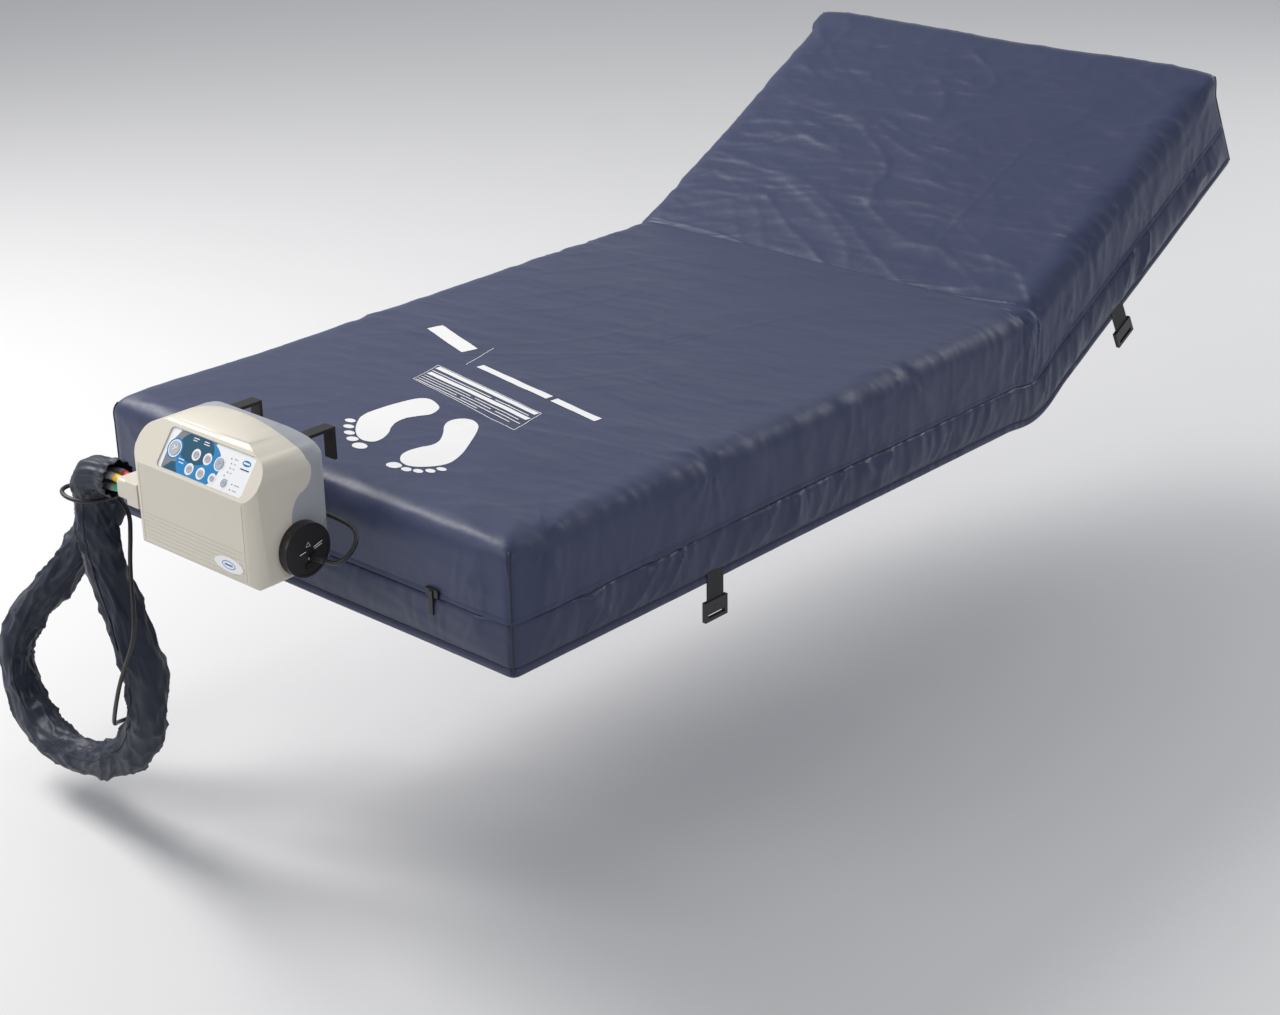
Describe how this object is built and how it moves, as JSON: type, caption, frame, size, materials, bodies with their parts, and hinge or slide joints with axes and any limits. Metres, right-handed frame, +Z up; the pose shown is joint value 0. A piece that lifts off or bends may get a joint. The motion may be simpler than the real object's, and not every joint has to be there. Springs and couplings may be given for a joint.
{
  "type": "pressure relief mattress",
  "caption": "Alternating-air pressure relief mattress in a zipped navy cover, back raised, with a footboard control unit, sleeved air hose and mains lead.",
  "frame": {"origin": "middle of the seat section's underside, which rests on the bed's fixed seat deck", "axes": "+X to the right seen from the foot end, +Y from foot to head, +Z up"},
  "size_m": [1.1813, 2.1634, 0.9672],
  "materials": {
    "cover_fabric": "navy polyurethane-coated nylon, satin, finely creased",
    "base_fabric": "navy coated nylon, duller and stiffer than the top",
    "zip_tape": "navy zip tape under its flap",
    "cell_film": "coated nylon air cell",
    "air_tubing": "translucent grey tubing with a coloured band",
    "webbing": "black polypropylene webbing",
    "black_plastic": "fine-grained black plastic",
    "red_plastic": "red plastic",
    "cream_plastic": "cream moulded plastic, very fine texture",
    "grey_plastic": "cool grey moulded plastic",
    "panel_graphic": "printed membrane, white with teal and blue",
    "key_caps": "pale grey key caps",
    "circuit": "green solder mask",
    "compressor_case": "cast",
    "hook_steel": "black powder coat",
    "sleeve_fabric": "dark navy ripstop nylon",
    "lead_rubber": "black PVC",
    "feet_rubber": "black rubber",
    "badge_white": "white oval label",
    "dark_metal": "dull"
  },
  "bodies": {
    "seat": {"top_cover_seat": "cover_fabric", "base_cover_seat": "base_fabric", "zipper_seat": "zip_tape", "air_cells_seat": "cell_film", "air_manifold_seat": "air_tubing", "cover_fold_back": "cover_fabric", "cover_fold_thigh": "cover_fabric", "front_shell": "cream_plastic", "rear_shell": "grey_plastic", "control_panel": "panel_graphic", "circuit_board": "circuit", "compressor": "compressor_case", "valve_body": "grey_plastic", "power_disc": "black_plastic", "hose_port": "cream_plastic", "hose_connector": "cream_plastic", "pump_feet": "feet_rubber", "badge": "badge_white", "shell_screws": "dark_metal", "air_tubes": "air_tubing", "hose_sleeve": "sleeve_fabric", "mains_lead": "lead_rubber", "lead_hank": "lead_rubber", "mains_plug": "lead_rubber", "strain_relief": "lead_rubber"},
    "thigh": {"top_cover_thigh": "cover_fabric", "base_cover_thigh": "base_fabric", "zipper_thigh": "zip_tape", "air_cells_thigh": "cell_film", "air_manifold_thigh": "air_tubing"},
    "calf": {"top_cover_calf": "cover_fabric", "base_cover_calf": "base_fabric", "zipper_calf": "zip_tape", "air_cells_calf": "cell_film", "air_manifold_calf": "air_tubing", "bed_straps_calf": "webbing", "strap_buckles_calf": "black_plastic", "hose_cuff": "base_fabric"},
    "back": {"top_cover_back": "cover_fabric", "base_cover_back": "base_fabric", "zipper_back": "zip_tape", "air_cells_back": "cell_film", "air_manifold_back": "air_tubing", "bed_straps_back": "webbing", "strap_buckles_back": "black_plastic", "cpr_valve": "black_plastic"},
    "cpr_pull": {"cpr_pull": "red_plastic"},
    "zip_slider": {"zip_slider": "dark_metal"},
    "valve_disc": {"valve_disc": "black_plastic"},
    "fuse_cap": {"fuse_cap": "black_plastic"},
    "hook_left": {"hook_left": "hook_steel"},
    "hook_right": {"hook_right": "hook_steel"},
    "key_mode": {"key_mode": "key_caps"},
    "key_firmer": {"key_firmer": "key_caps"},
    "key_softer": {"key_softer": "key_caps"},
    "key_comfort": {"key_comfort": "key_caps"},
    "key_cycle": {"key_cycle": "key_caps"},
    "key_static": {"key_static": "key_caps"},
    "key_mute": {"key_mute": "key_caps"},
    "key_power": {"key_power": "key_caps"}
  },
  "joints": [
    {"name": "back_raise", "type": "hinge", "parent": "seat", "child": "back", "pos_m": [0, 0.1524, 0], "axis": [1, 0, 0], "range_deg": [-28.45, 31.55], "deforming": ["cover_fold_back"]},
    {"name": "thigh_raise", "type": "hinge", "parent": "seat", "child": "thigh", "pos_m": [0, -0.1524, 0], "axis": [-1, 0, 0], "range_deg": [0, 25], "deforming": ["cover_fold_thigh"]},
    {"name": "knee_bend", "type": "hinge", "parent": "thigh", "child": "calf", "pos_m": [0, -0.4572, 0], "axis": [-1, 0, 0], "range_deg": [-35.53, 0]},
    {"name": "cpr_pull_out", "type": "slide", "parent": "back", "child": "cpr_pull", "axis": [-1, 0, 0], "range_m": [0, 0.015]},
    {"name": "zip_run", "type": "slide", "parent": "calf", "child": "zip_slider", "axis": [-1, 0, 0], "range_m": [0, 0.6]},
    {"name": "valve_spin", "type": "hinge", "parent": "seat", "child": "valve_disc", "pos_m": [-0.073, -1.2844, 0.1996], "axis": [0, 0, 1], "continuous": true},
    {"name": "fuse_cap_turn", "type": "hinge", "parent": "seat", "child": "fuse_cap", "pos_m": [0.1705, -1.2884, 0.1346], "axis": [1, 0, 0], "range_deg": [0, 90]},
    {"name": "hook_left_fold", "type": "hinge", "parent": "seat", "child": "hook_left", "pos_m": [-0.068, -1.2269, 0.2456], "axis": [-1, 0, 0], "range_deg": [0, 65]},
    {"name": "hook_right_fold", "type": "hinge", "parent": "seat", "child": "hook_right", "pos_m": [0.098, -1.2269, 0.2456], "axis": [-1, 0, 0], "range_deg": [0, 65]},
    {"name": "key_mode_press", "type": "slide", "parent": "seat", "child": "key_mode", "axis": [0, 0.8081, -0.589], "range_m": [0, 0.0006], "stiffness_N_per_m": 900},
    {"name": "key_firmer_press", "type": "slide", "parent": "seat", "child": "key_firmer", "axis": [0, 0.8081, -0.589], "range_m": [0, 0.0006], "stiffness_N_per_m": 900},
    {"name": "key_softer_press", "type": "slide", "parent": "seat", "child": "key_softer", "axis": [0, 0.8081, -0.589], "range_m": [0, 0.0006], "stiffness_N_per_m": 900},
    {"name": "key_comfort_press", "type": "slide", "parent": "seat", "child": "key_comfort", "axis": [0, 0.8081, -0.589], "range_m": [0, 0.0006], "stiffness_N_per_m": 900},
    {"name": "key_cycle_press", "type": "slide", "parent": "seat", "child": "key_cycle", "axis": [0, 0.8081, -0.589], "range_m": [0, 0.0006], "stiffness_N_per_m": 900},
    {"name": "key_static_press", "type": "slide", "parent": "seat", "child": "key_static", "axis": [0, 0.8081, -0.589], "range_m": [0, 0.0006], "stiffness_N_per_m": 900},
    {"name": "key_mute_press", "type": "slide", "parent": "seat", "child": "key_mute", "axis": [0, 0.8081, -0.589], "range_m": [0, 0.0006], "stiffness_N_per_m": 900},
    {"name": "key_power_press", "type": "slide", "parent": "seat", "child": "key_power", "axis": [0, 0.8081, -0.589], "range_m": [0, 0.0006], "stiffness_N_per_m": 900}
  ],
  "couplings": [
    {"joint": "knee_bend", "follows": "thigh_raise", "ratio": -1.4174}
  ]
}
